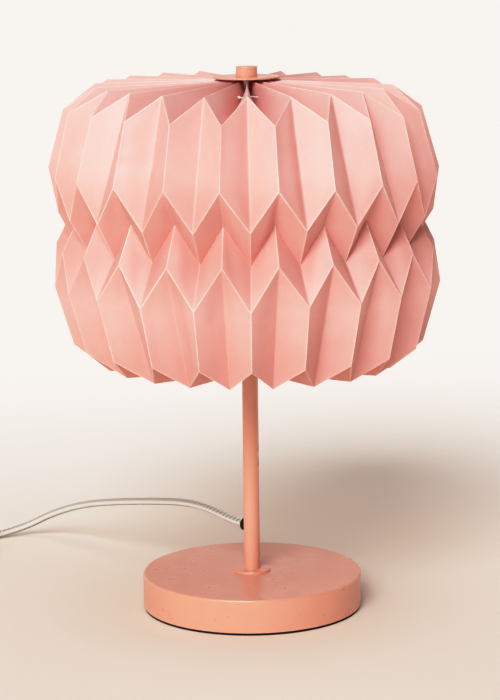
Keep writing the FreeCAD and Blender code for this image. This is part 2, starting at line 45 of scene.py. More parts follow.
# ---------------------------------------------------------------------------
# Camera
# ---------------------------------------------------------------------------
CAM_AT = (0.0, -2.00468, 0.58910)
YAW, PITCH, ROLL = 0.000147, 0.184758, -0.0111952
ahead = Vector((math.sin(YAW) * math.cos(PITCH), math.cos(YAW) * math.cos(PITCH), -math.sin(PITCH)))
side = Vector((math.cos(YAW), -math.sin(YAW), 0.0))
above = side.cross(ahead)
side, above = (math.cos(ROLL) * side + math.sin(ROLL) * above, -math.sin(ROLL) * side + math.cos(ROLL) * above)
cam_data = bpy.data.cameras.new("camera")
cam_data.sensor_width = 36.0
cam_data.sensor_fit = "AUTO"
cam_data.lens = 128.77
cam_data.clip_start, cam_data.clip_end = 0.05, 60.0
cam = bpy.data.objects.new("camera", cam_data)
scene.collection.objects.link(cam)
turn = Matrix((side, above, -ahead)).transposed()
cam.matrix_world = Matrix.Translation(CAM_AT) @ turn.to_4x4()
scene.camera = cam

# ---------------------------------------------------------------------------
# Helpers
# ---------------------------------------------------------------------------


def new_mesh(name, verts, faces, smooth=True, body="root"):
    me = bpy.data.meshes.new(name)
    me.from_pydata([tuple(v) for v in verts], [], [tuple(f) for f in faces])
    me.update()
    ob = bpy.data.objects.new(name, me)
    scene.collection.objects.link(ob)
    if smooth:
        me.polygons.foreach_set("use_smooth", [True] * len(me.polygons))
    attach(ob, body)
    return ob


def grid_faces(rows, cols, wrap_cols=True, wrap_rows=False, base=0, flip=False):
    """Quads over a rows x cols grid of vertices, numbered row by row."""
    i = np.arange(rows if wrap_rows else rows - 1)[:, None]
    j = np.arange(cols if wrap_cols else cols - 1)[None, :]
    i2, j2 = (i + 1) % rows, (j + 1) % cols
    q = np.stack([i * cols + j + 0 * i2, i * cols + j2 + 0 * i2, i2 * cols + j2, i2 * cols + j + 0 * j2], -1)
    q = q.reshape(-1, 4) + base
    return q[:, ::-1] if flip else q


class Nodes:
    """Short way to write a material's nodes."""

    def __init__(self, name):
        self.mat = bpy.data.materials.new(name)
        self.mat.use_nodes = True
        self.tree = self.mat.node_tree
        self.tree.nodes.clear()
        self.out = self.tree.nodes.new("ShaderNodeOutputMaterial")
        self.bsdf = self.tree.nodes.new("ShaderNodeBsdfPrincipled")
        self.link(self.bsdf.outputs[0], self.out.inputs["Surface"])

    def link(self, a, b):
        self.tree.links.new(a, b)

    def put(self, socket, value):
        if isinstance(value, bpy.types.NodeSocket):
            self.link(value, socket)
        elif isinstance(value, (tuple, list)) and len(value) == 3 and socket.type == "RGBA":
            socket.default_value = (*value, 1.0)
        else:
            socket.default_value = value

    def shade(self, **values):
        for k, v in values.items():
            self.put(self.bsdf.inputs[k.replace("_", " ")], v)
        return self

    def node(self, kind, outs=0, props=None, **ins):
        n = self.tree.nodes.new(kind)
        for k, v in (props or {}).items():
            setattr(n, k, v)
        for k, v in ins.items():
            key = int(k[1:]) if k[0] == "i" and k[1:].isdigit() else k.replace("_", " ")
            self.put(n.inputs[key], v)
        return n.outputs[outs]

    def math(self, op, a, b=0.0, c=0.0, clamp=False):
        return self.node("ShaderNodeMath", props={"operation": op, "use_clamp": clamp}, i0=a, i1=b, i2=c)

    def coords(self, kind="Object"):
        return self.node("ShaderNodeTexCoord", kind)

    def uvmap(self, name):
        return self.node("ShaderNodeUVMap", props={"uv_map": name})

    def split(self, vector):
        n = self.tree.nodes.new("ShaderNodeSeparateXYZ")
        self.link(vector, n.inputs[0])
        return n.outputs

    def attr(self, name, out="Fac"):
        return self.node("ShaderNodeAttribute", out, props={"attribute_name": name})

    def noise(self, scale, detail=2.0, rough=0.5, vector=None, out="Fac", distortion=0.0):
        return self.node("ShaderNodeTexNoise", out, Vector=vector if vector is not None else self.coords(),
                         Scale=scale, Detail=detail, Roughness=rough, Distortion=distortion)

    def ramp(self, fac, stops, interpolation="LINEAR"):
        n = self.tree.nodes.new("ShaderNodeValToRGB")
        n.color_ramp.interpolation = interpolation
        while len(n.color_ramp.elements) < len(stops):
            n.color_ramp.elements.new(0.5)
        for e, (p, c) in zip(n.color_ramp.elements, stops):
            e.position = p
            e.color = (*c, 1.0) if isinstance(c, tuple) else (c, c, c, 1.0)
        self.link(fac, n.inputs["Fac"])
        return n.outputs["Color"]

    def between(self, x, lo, hi, to_lo=0.0, to_hi=1.0, smooth=True):
        return self.node("ShaderNodeMapRange", props={"interpolation_type": "SMOOTHSTEP" if smooth else "LINEAR"},
                         i0=x, i1=lo, i2=hi, i3=to_lo, i4=to_hi)

    def mix(self, fac, a, b, blend="MIX"):
        n = self.tree.nodes.new("ShaderNodeMix")
        n.data_type = "RGBA"
        n.blend_type = blend
        self.put(n.inputs[0], fac)
        self.put(n.inputs[6], a)
        self.put(n.inputs[7], b)
        return n.outputs[2]

    def bump(self, height, distance, strength=1.0, normal=None):
        n = self.tree.nodes.new("ShaderNodeBump")
        n.inputs["Strength"].default_value = strength
        n.inputs["Distance"].default_value = distance
        self.link(height, n.inputs["Height"])
        if normal is not None:
            self.link(normal, n.inputs["Normal"])
        return n.outputs[0]


def srgb(r, g, b):
    f = lambda c: c / 12.92 if c <= 0.04045 else ((c + 0.055) / 1.055) ** 2.4
    return (f(r / 255), f(g / 255), f(b / 255))


# ---------------------------------------------------------------------------
# Mains lead: route, centre line, braided tube
# ---------------------------------------------------------------------------
CORD_D = 6.4
LEAD_A = [(-2.83, 3.37, 67.0), (-16.7, 19.9, 67.2), (-35.0, 44.0, 71.0), (-56.0, 74.0, 69.3),
          (-84.0, 113.0, 60.6), (-117.0, 152.0, 51.0), (-151.0, 191.0, 39.3),
          (-180.5, 218.5, 24.6), (-206.0, 229.0, 9.6), (-230.5, 223.0, 3.4),
          (-246.3, 208.2, 3.6), (-252.9, 192.2, 5.6), (-251.9, 175.0, 7.0)]
LEAD_B = [(-248.18, 114.1, 7.0), (-247.1, 99.5, 5.6), (-246.4, 84.5, 4.5)]
TAIL = [(-246.3, 40.0, 10.0), (-247.5, 22.0, 8.0), (-247.5, 6.0, 7.0)]
COIL_C = (-284.0, 62.0)


def coil_points():
    """Six turns, three on the table wound inwards and three on top wound outwards, clockwise from above."""
    steps = 14
    out = []
    radii = [39.2, 32.6, 26.0, 26.0, 32.6, 39.2]
    start = math.radians(12.0)
    total = 6 * steps
    for i in range(total + 1):
        t = i / steps
        a = start - 2 * math.pi * t
        n = min(int(t), 5)
        f = t - n
        r0 = radii[n]
        r1 = radii[min(n + 1, 5)]
        s = min(max((f - 0.80) / 0.20, 0.0), 1.0)
        s = s * s * (3 - 2 * s)
        r = r0 + (r1 - r0) * s
        zs = min(max((t - 2.75) / 0.35, 0.0), 1.0)
        z = 4.2 + 6.5 * zs * zs * (3 - 2 * zs)
        out.append((COIL_C[0] + r * math.cos(a), COIL_C[1] + r * math.sin(a), z))
    return out


route = LEAD_A + [(-250.6, 154.7, 7.0), (-249.4, 134.4, 7.0)] + LEAD_B + coil_points() + TAIL
curve = bpy.data.curves.new("lead_route", "CURVE")
curve.dimensions = "3D"
curve.resolution_u = 24
spline = curve.splines.new("NURBS")
spline.points.add(len(route) - 1)
for p, q in zip(spline.points, route):
    p.co = (q[0] * MM, q[1] * MM, q[2] * MM, 1.0)
spline.order_u = 3
spline.use_endpoint_u = True
spline.resolution_u = 24
line_ob = bpy.data.objects.new("lead_route", curve)
scene.collection.objects.link(line_ob)
bpy.context.view_layer.update()
line_me = bpy.data.meshes.new_from_object(line_ob)
line = np.array([v.co for v in line_me.vertices], float)
bpy.data.objects.remove(line_ob)


def even(points, step):
    seg = np.linalg.norm(np.diff(points, axis=0), axis=1)
    at = np.concatenate([[0], np.cumsum(seg)])
    n = max(2, int(round(at[-1] / step)) + 1)
    s = np.linspace(0, at[-1], n)
    return np.stack([np.interp(s, at, points[:, i]) for i in range(3)], 1), s


def frames(points):
    """Tangent and two side directions that don't twist along the line."""
    t = np.gradient(points, axis=0)
    t /= np.linalg.norm(t, axis=1)[:, None]
    n = np.zeros_like(t)
    v = np.cross(t[0], [0, 0, 1.0])
    n[0] = v / np.linalg.norm(v)
    for i in range(1, len(t)):
        v = n[i - 1] - t[i] * (n[i - 1] @ t[i])
        n[i] = v / np.linalg.norm(v)
    return t, n, np.cross(t, n)


centre, along = even(line, 0.55 * MM)
print("lead length", round(along[-1], 4), "rings", len(centre))
ROUND, CARRIERS, LAY, TURNED = 30, 6, 13.8 * MM, 0.0
tan, nor, bi = frames(centre)
ang = np.arange(ROUND) / ROUND
uu, vv = np.meshgrid(ang, along)
sa = CARRIERS * (uu + TURNED - vv / LAY)
sb = CARRIERS * (uu + TURNED + vv / LAY)
over = (np.floor(sa) + np.floor(sb)) % 4 < 2
across = np.where(over, sa % 1.0, sb % 1.0)
roundness = np.sqrt(np.clip(1 - (2 * across - 1) ** 2, 0, 1))
height = (0.38 * roundness - 0.32) * MM
rad = CORD_D / 2 * MM + height
ring = (np.cos(2 * math.pi * uu)[..., None] * nor[:, None, :] + np.sin(2 * math.pi * uu)[..., None] * bi[:, None, :])
verts = centre[:, None, :] + rad[..., None] * ring
nv = len(centre) * ROUND
faces = grid_faces(len(centre), ROUND, flip=False)
verts = np.concatenate([verts.reshape(-1, 3), centre[:1], centre[-1:]])
faces = [tuple(f) for f in faces]
for j in range(ROUND):
    faces.append((nv, (j + 1) % ROUND, j))
    e = (len(centre) - 1) * ROUND
    faces.append((nv + 1, e + j, e + (j + 1) % ROUND))
lead = new_mesh("mains_lead", verts, faces)
uv = lead.data.uv_layers.new(name="braid")
loops = np.zeros(len(lead.data.loops), np.int32)
lead.data.loops.foreach_get("vertex_index", loops)
u_of = np.concatenate([uu.ravel(), [0, 0]])[loops]
v_of = np.concatenate([vv.ravel(), [0, along[-1]]])[loops]
start = np.zeros(len(lead.data.polygons), np.int32)
count = np.zeros(len(lead.data.polygons), np.int32)
lead.data.polygons.foreach_get("loop_start", start)
lead.data.polygons.foreach_get("loop_total", count)
owner = np.repeat(np.arange(len(start)), count)
umax = np.maximum.reduceat(u_of, start)[owner]
u_of = np.where((umax > 0.75) & (u_of < 0.25), u_of + 1.0, u_of)
uv.data.foreach_set("uv", np.stack([u_of, v_of], 1).ravel().astype(np.float32))
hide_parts("cord_lead_a", "cord_lead_b", "cord_tail", "cord_coil")

# ---------------------------------------------------------------------------
# Paper shade: one sheet in 22 pleats with chevron creases
# ---------------------------------------------------------------------------
PLEATS, PHASE, SHEET_T = 22, 1.474, 0.30
FOLD_A = [(10.0, 434.2), (118.8, 430.9), (152.3, 331.7), (135.9, 304.4), (155.5, 273.6), (142.4, 224.5), (55.5, 226.3)]
FOLD_B = [(8.0, 409.0), (143.2, 411.9), (156.5, 363.0), (136.6, 334.9), (152.2, 304.7), (116.7, 205.5), (55.0, 201.2)]
BANDS = len(FOLD_A) - 1
HALF = math.pi / PLEATS
# the sheet hangs a little off true: each ring of creases leans and shifts
LEAN_Y, LEAN_X = 0.00779, 0.00432
SHIFT = [0.0, -2.65, -2.55, -2.47, -2.15, -1.13, -0.6]
# corners pulled off their ring by the folding, sideways and up, in mm
PULL = {
    1: {0: (0, .1), 1: (-.5, -.7), 2: (-.4, -.5), 3: (.6, .8), 4: (-.4, .1), 5: (-.4, -.1), 6: (0, -.5), 7: (.9, -1.2),
        12: (.2, -3.0), 14: (-.1, -.5), 16: (-3.0, -.5), 18: (-.6, .5), 20: (1.1, .6), 24: (-.1, 1.3), 26: (.1, 1.3),
        28: (-1.9, .9), 30: (-1.9, .4), 32: (-1, 0), 33: (-1.1, .5), 36: (1.2, -.3), 37: (1.4, .8), 38: (.6, 0),
        39: (.6, .1), 40: (.1, -.2), 41: (.5, 0), 42: (1, -.2), 43: (0, -.2)},
    2: {0: (.1, .4), 1: (-.5, .7), 2: (0, 1.2), 3: (-.5, -.1), 4: (-.5, 1.3), 5: (-.5, .2), 6: (.3, -.4), 7: (-.2, -.6),
        8: (.8, -.8), 9: (.8, -1.4), 33: (-.8, 2.6), 35: (.4, -1.2), 36: (.3, -.7), 37: (0, -.6), 38: (-.4, 1.2),
        39: (-.1, .2), 40: (1.4, -1.1), 41: (.3, .2), 42: (.1, -.7), 43: (-.4, .5)},
    3: {0: (.7, .2), 1: (-.4, 1.4), 2: (-.2, 0), 3: (-.1, -1), 4: (-.1, -.8), 5: (.2, -.1), 39: (-.2, -1.4),
        40: (-.5, -.2), 41: (.4, .7), 42: (.6, .7), 43: (-.5, .3)},
    4: {0: (-.5, -1.4), 1: (-.6, 1.5), 2: (0, 1.7), 3: (-.7, 1.3), 4: (-.1, .7), 5: (-.6, .4), 6: (-.4, .7), 7: (-.2, .4),
        8: (2.1, .8), 9: (1.6, -1.3), 33: (-.4, -.5), 35: (.2, -2.1), 36: (.5, -.5), 37: (.2, -.6), 38: (.2, .1),
        39: (-.2, -.6), 40: (0, -1.1), 41: (-.4, 0), 42: (.2, -.9), 43: (-.1, 1)},
    5: {0: (-1, -.2), 1: (-.6, .2), 2: (-.2, .5), 3: (-.6, -.1), 4: (-1, -.3), 5: (1.1, -.1), 6: (-.1, -.3), 7: (1.1, -.6),
        8: (1.8, .6), 37: (.6, -.1), 38: (.7, -.1), 39: (.8, .2), 40: (.1, 0), 41: (.1, .3), 42: (-.9, -.1), 43: (-.6, .1)},
}
corner = np.zeros((BANDS + 1, 2 * PLEATS, 3))
loose = rng.normal(0, 1, (BANDS + 1, 2 * PLEATS, 3)) * np.array([0.6, 0.6, 0.7])
for j in range(BANDS + 1):
    for c in range(2 * PLEATS):
        r, z = (FOLD_A if c % 2 == 0 else FOLD_B)[j]
        a = math.radians(PHASE) + c * HALF
        p = np.array((r * math.sin(a), -r * math.cos(a), z))
        if j:
            p[2] += p[1] * LEAN_Y - p[0] * LEAN_X
            p[0] += SHIFT[j]
            if j < BANDS:
                dx, dz = PULL[j].get(c, (None, None))
                p = p + (loose[j, c] if dx is None else np.array((dx, 0.0, dz)))
        corner[j, c] = p

# small knocks in the paper: band, panel, from u, v to u, v, depth in mm, width
DENTS = [(1, 39, 0.10, 0.60, 1.00, 0.53, -1.5, 0.045), (1, 40, 0.00, 0.53, 0.55, 0.47, -1.1, 0.045),
         (1, 39, 0.70, 0.53, 1.00, 0.68, 0.7, 0.040), (1, 33, 0.2, 0.35, 0.9, 0.30, -0.4, 0.035),
         (1, 3, 0.25, 0.70, 0.95, 0.78, -0.35, 0.030), (4, 42, 0.1, 0.42, 0.9, 0.36, -0.35, 0.035),
         (4, 5, 0.2, 0.62, 1.0, 0.55, -0.40, 0.030), (4, 38, 0.0, 0.30, 0.8, 0.36, -0.45, 0.030),
         (1, 12, 0.1, 0.5, 1.0, 0.44, -0.6, 0.030), (1, 21, 0.0, 0.35, 0.9, 0.42, -0.5, 0.032),
         (4, 17, 0.2, 0.6, 1.0, 0.5, -0.5, 0.032), (4, 28, 0.0, 0.4, 0.8, 0.33, -0.45, 0.03)]
NU = 10
NV = [20, 28, 10, 10, 22, 12]


def point_line(p, a, b):
    ab = b - a
    t = np.clip(((p - a) @ ab) / (ab @ ab), 0, 1)
    return np.linalg.norm(p - a - t[..., None] * ab, axis=-1)


def even_in(n, power=1.0):
    """0 to 1 in n steps, a little closer together near both ends."""
    t = np.arange(n + 1) / n
    return t + power * 0.09 * np.sin(2 * math.pi * t) * -1


rows = sum(NV) + 1
cols = 2 * PLEATS * NU
mid = np.zeros((rows, cols, 3))
marks = []                         # per panel: (first row, rows, column block, ridge, crease, soft crease, tone)
row0 = 0
for j in range(BANDS):
    n = NV[j]
    for c in range(2 * PLEATS):
        c2 = (c + 1) % (2 * PLEATS)
        v, u = np.meshgrid(even_in(n), even_in(NU), indexing="ij")
        q = [corner[j, c], corner[j, c2], corner[j + 1, c], corner[j + 1, c2]]
        p = ((q[0] * (1 - u)[..., None] + q[1] * u[..., None]) * (1 - v)[..., None]
             + (q[2] * (1 - u)[..., None] + q[3] * u[..., None]) * v[..., None])
        mountain = (0 if (c % 2 == 0) == (j % 2 == 0) else 1)
        ridge = point_line(p, q[mountain], q[mountain + 2])
        valley = point_line(p, q[1 - mountain], q[3 - mountain])
        top_d = point_line(p, q[0], q[1]) if j > 0 else np.full(p.shape[:2], 50.0)
        low_d = point_line(p, q[2], q[3]) if j < BANDS - 1 else np.full(p.shape[:2], 50.0)
        none = np.full(p.shape[:2], 50.0)
        hard = np.minimum(top_d if j != 3 else none, low_d if j != 2 else none)
        soft = np.minimum(top_d if j == 3 else none, low_d if j == 2 else none)
        normal = np.cross(q[1] - q[2], q[3] - q[0])
        normal /= np.linalg.norm(normal)
        if normal @ (p.mean((0, 1)) - np.array([0, 0, 315.0])) < 0:
            normal = -normal
        # each panel bows a little; bends run between opposite creases
        room = np.clip(np.minimum(np.minimum(ridge, valley), np.minimum(top_d, low_d)) / 9.0, 0, 1)
        room = room * room * (3 - 2 * room)
        bow = rng.normal(0.25, 0.45)
        skew = rng.normal(0, 0.30)
        phase = rng.uniform(0, 6.28)
        ripple = rng.normal(0, 0.16)
        d = room * (bow * np.sin(math.pi * u) + skew * np.sin(2 * math.pi * u)
                    + ripple * np.sin(2 * math.pi * (1.6 * v + 0.8 * u) + phase))
        p = p + normal * d[..., None]
        for dj, dc, u0, v0, u1, v1, deep, wide in DENTS:
            if (dj, dc) == (j, c):
                run = np.clip((u - u0) / (u1 - u0), 0, 1)
                off = (v - (v0 + (v1 - v0) * run)) / wide
                d_ = deep * np.exp(-off ** 2) - 0.45 * deep * np.exp(-((off - 1.9) / 1.3) ** 2)
                ends = np.clip(np.minimum(u - u0 + 0.12, u1 - u + 0.12) / 0.25, 0, 1)
                p = p + normal * (d_ * ends)[..., None]
        last = 1 if j == BANDS - 1 else 0
        mid[row0:row0 + n + last, c * NU:(c + 1) * NU] = p[:n + last, :NU]
        marks.append((row0, n, c, ridge, hard, soft, rng.normal(0, 1)))
    row0 += n


# the folds that point inwards are pressed less hard, so they keep a small round
fold_rows = list(np.cumsum([0] + NV))
soften = np.zeros((rows, cols))
row0 = 0
for j in range(BANDS):
    n = NV[j]
    for k in range(0 if j == 0 else 1, n):
        away = min(k if j else 9, n - k if j < BANDS - 1 else 9)
        for c in range(2 * PLEATS):
            if (c % 2 == 0) != (j % 2 == 0):
                soften[row0 + k, c * NU] = min(1.0, away / 2.5)
    row0 += n
half = (np.roll(mid, 1, axis=1) + np.roll(mid, -1, axis=1)) / 2
mid = mid + (half - mid) * (0.24 * soften)[..., None]
near_fold = np.maximum(np.roll(soften, 1, axis=1), np.roll(soften, -1, axis=1))
half = (np.roll(mid, 1, axis=1) + np.roll(mid, -1, axis=1)) / 2
mid = mid + (half - mid) * (0.14 * near_fold)[..., None]


def grid_normals(p):
    du = np.roll(p, -1, axis=1) - np.roll(p, 1, axis=1)
    dv = np.gradient(p, axis=0)
    n = np.cross(dv, du)
    return n / np.linalg.norm(n, axis=-1, keepdims=True)


nrm = grid_normals(mid)
if (nrm[10:30] * np.stack([mid[10:30, :, 0] * 0, mid[10:30, :, 1] * 0, mid[10:30, :, 0] * 0 + 1], -1)).sum() < 0:
    nrm = -nrm
outer = mid + nrm * SHEET_T / 2
inner = mid - nrm * SHEET_T / 2
verts = np.concatenate([outer.reshape(-1, 3), inner.reshape(-1, 3)]) * MM
nv = rows * cols
faces, uv_line, uv_soft, tones = [], [], [], []
for side_no in (0, 1):
    for row_at, n, c, ridge, hard, soft, tone in marks:
        for i in range(n):
            for m in range(NU):
                a, b = c * NU + m, (c * NU + m + 1) % cols
                r_a, r_b = (row_at + i) * cols, (row_at + i + 1) * cols
                ids = [r_a + a, r_a + b, r_b + b, r_b + a]
                at = [(i, m), (i, m + 1), (i + 1, m + 1), (i + 1, m)]
                if side_no:
                    ids = [q + nv for q in ids]
                if (side_no == 0) == FLIP:
                    ids, at = ids[::-1], at[::-1]
                faces.append(ids)
                uv_line += [(ridge[q], hard[q]) for q in at]
                uv_soft += [(soft[q], side_no + 0.5) for q in at]
                tones.append(tone)
for j in range(cols):
    k = (j + 1) % cols
    e = (rows - 1) * cols
    for ids in ((j, nv + j, nv + k, k), (e + k, nv + e + k, nv + e + j, e + j)):
        faces.append(ids if not FLIP else ids[::-1])
        uv_line += [(0.0, 50.0)] * 4
        uv_soft += [(50.0, 0.5)] * 4
        tones.append(0.0)
shade = new_mesh("pleated_shade", verts, faces, smooth=False, body="shade")
me = shade.data
me.uv_layers.new(name="folds").data.foreach_set("uv", np.array(uv_line, np.float32).ravel())
me.uv_layers.new(name="waist").data.foreach_set("uv", np.array(uv_soft, np.float32).ravel())
me.attributes.new("tone", "FLOAT", "FACE").data.foreach_set("value", np.array(tones, np.float32))
me.polygons.foreach_set("use_smooth", [True] * len(me.polygons))
# creases stay sharp: every edge on a zigzag crease or an outward fold, and where the two faces of the sheet meet
keys = set()
ev = np.zeros(len(me.edges) * 2, np.int32)
me.edges.foreach_get("vertices", ev)
ev = ev.reshape(-1, 2)
er, ec = (ev % nv) // cols, (ev % nv) % cols
same_side = (ev[:, 0] < nv) == (ev[:, 1] < nv)
on_row = (er[:, 0] == er[:, 1]) & np.isin(er[:, 0], fold_rows)
top_row = np.minimum(er[:, 0], er[:, 1])
band_of = np.clip(np.searchsorted(fold_rows, top_row, side="right") - 1, 0, BANDS - 1)
mountain_col = ((ec[:, 0] // NU) % 2 == 0) == (band_of % 2 == 0)
on_col = (ec[:, 0] == ec[:, 1]) & (ec[:, 0] % NU == 0) & mountain_col
sharp = (same_side & (on_row | on_col)) | ~same_side
rim = same_side & on_row & ((er[:, 0] == 0) | (er[:, 0] == rows - 1))
me.attributes.new("sharp_edge", "BOOLEAN", "EDGE").data.foreach_set("value", sharp | rim)
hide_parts("paper_shade")
print("shade faces", len(faces))

# ---------------------------------------------------------------------------
# Gather string: two plies twisted together, drawn through every pleat
# ---------------------------------------------------------------------------


def sweep(paths, radii, sides, closed):
    """Round strands along lines of points (mm), joined into one mesh."""
    vs, fs = [], []
    for pts, r in zip(paths, radii):
        pts = np.asarray(pts, float)
        if closed:
            t = np.roll(pts, -1, axis=0) - np.roll(pts, 1, axis=0)
        else:
            t = np.gradient(pts, axis=0)
        t /= np.linalg.norm(t, axis=1)[:, None]
        up = np.array([0.0, 0.0, 1.0])
        s1 = np.cross(t, up)
        s1 /= np.linalg.norm(s1, axis=1)[:, None]
        s2 = np.cross(t, s1)
        a = np.arange(sides) / sides * 2 * math.pi
        ring = pts[:, None, :] + r * (np.cos(a)[None, :, None] * s1[:, None, :] + np.sin(a)[None, :, None] * s2[:, None, :])
        base = sum(len(v) for v in vs)
        vs.append(ring.reshape(-1, 3) * MM)
        fs += [tuple(f) for f in grid_faces(len(pts), sides, wrap_rows=closed, base=base, flip=True)]
        if not closed:
            fs.append(tuple(base + k for k in range(sides)))
            e = base + (len(pts) - 1) * sides
            fs.append(tuple(e + k for k in range(sides))[::-1])
    return np.concatenate(vs), fs


STRING_R, STRING_Z, TWISTS = 37.0, 423.0, 88
paths = []
for ply in (0, 1):
    a = np.arange(TWISTS * 10) / (TWISTS * 10) * 2 * math.pi
    w = TWISTS * a + ply * math.pi
    slack = 0.25 * np.sin(11 * a + 0.6)
    r = STRING_R + 0.25 * np.cos(w) + 0.15 * np.sin(7 * a) - 3.5 * np.exp(-((a - 0.10) / 0.07) ** 2)
    paths.append(np.stack([r * np.sin(a), -r * np.cos(a), STRING_Z + slack + 0.25 * np.sin(w)], 1))
verts, faces = sweep(paths, (0.30, 0.30), 8, True)
# the knot: a trefoil pulled tight, and two short tails
k_at = np.array([37.0 * math.sin(-0.166), -37.0 * math.cos(-0.166), 423.1])
t = np.arange(60) / 60 * 2 * math.pi
knot = np.stack([0.30 * (np.sin(t) + 2 * np.sin(2 * t)), 0.24 * np.sin(3 * t), 0.30 * (np.cos(t) - 2 * np.cos(2 * t))], 1) + k_at
kv, kf = sweep([knot], (0.36,), 8, True)
faces += [tuple(q + len(verts) for q in f) for f in kf]
verts = np.concatenate([verts, kv])
tails = [np.stack([k_at[0] + sx * (0.4 + 1.5 * u_), k_at[1] + 0.8 + 2.0 * u_, k_at[2] + 0.4 - 1.9 * u_ ** 2], 1)
         for sx, u_ in ((-1.0, np.linspace(0, 1, 9)), (0.35, np.linspace(0, 0.8, 9)))]
kv, kf = sweep(tails, (0.28, 0.28), 8, False)
faces += [tuple(q + len(verts) for q in f) for f in kf]
verts = np.concatenate([verts, kv])
string = new_mesh("twisted_string", verts, faces, body="shade")
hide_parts("gather_string")

# ---------------------------------------------------------------------------
# Strap round the put-away turns of the lead
# ---------------------------------------------------------------------------
STRAP_W, STRAP_T = 11.0, 0.85
X0, X1, Z0, Z1 = -326.95, -306.25, 0.53, 14.5


def rounded(x0, x1, z0, z1, r, step=6):
    """Rounded rectangle in x and z, clockwise seen from the front, from the middle of the top."""
    out = [((x0 + x1) / 2, z1)]
    for cx, cz, a0 in ((x1 - r, z1 - r, 90), (x1 - r, z0 + r, 0), (x0 + r, z0 + r, -90), (x0 + r, z1 - r, -180)):
        for i in range(step + 1):
            a = math.radians(a0 - 90 * i / step)
            out.append((cx + r * math.cos(a), cz + r * math.sin(a)))
    return out


loop = rounded(X0, X1, Z0, Z1, 3.3)
loop += [((X0 + X1) / 2 - 4.5, Z1 + 0.55), ((X0 + X1) / 2 - 1.0, Z1 + 0.92), ((X0 + X1) / 2 + 2.6, Z1 + 0.95),
         ((X0 + X1) / 2 + 5.6, Z1 + 1.25)]
loop = np.array(loop)
seg = np.linalg.norm(np.diff(loop, axis=0), axis=1)
at_s = np.concatenate([[0], np.cumsum(seg)])
s_s = np.linspace(0, at_s[-1], 150)
loop = np.stack([np.interp(s_s, at_s, loop[:, k]) for k in (0, 1)], 1)
for _ in range(2):
    loop[1:-1] = (loop[:-2] + 2 * loop[1:-1] + loop[2:]) / 4
tan2 = np.gradient(loop, axis=0)
tan2 /= np.linalg.norm(tan2, axis=1)[:, None]
out2 = np.stack([-tan2[:, 1], tan2[:, 0]], 1)
section = [(-.5, -.28), (-.47, -.5), (-.25, -.5), (0, -.5), (.25, -.5), (.47, -.5), (.5, -.28),
           (.5, .28), (.47, .5), (.25, .5), (0, .5), (-.25, .5), (-.47, .5), (-.5, .28)]
verts = []
for i, (p, o) in enumerate(zip(loop, out2)):
    left = (len(loop) - 1 - i) * (s_s[1] - s_s[0])
    w = STRAP_W * (1 if left > 3 else math.sqrt(max(1 - ((3 - left) / 3.4) ** 2, 0.2)))
    for y, t in section:
        verts.append(((p[0] + o[0] * t * STRAP_T) * MM, (62.0 + y * w) * MM, (p[1] + o[1] * t * STRAP_T) * MM))
faces = [tuple(f) for f in grid_faces(len(loop), len(section), base=0)]
faces.append(tuple(range(len(section)))[::-1])
faces.append(tuple((len(loop) - 1) * len(section) + k for k in range(len(section))))
strap = new_mesh("coil_strap", verts, faces)
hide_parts("coil_tie")

# ---------------------------------------------------------------------------
# Materials
# ---------------------------------------------------------------------------


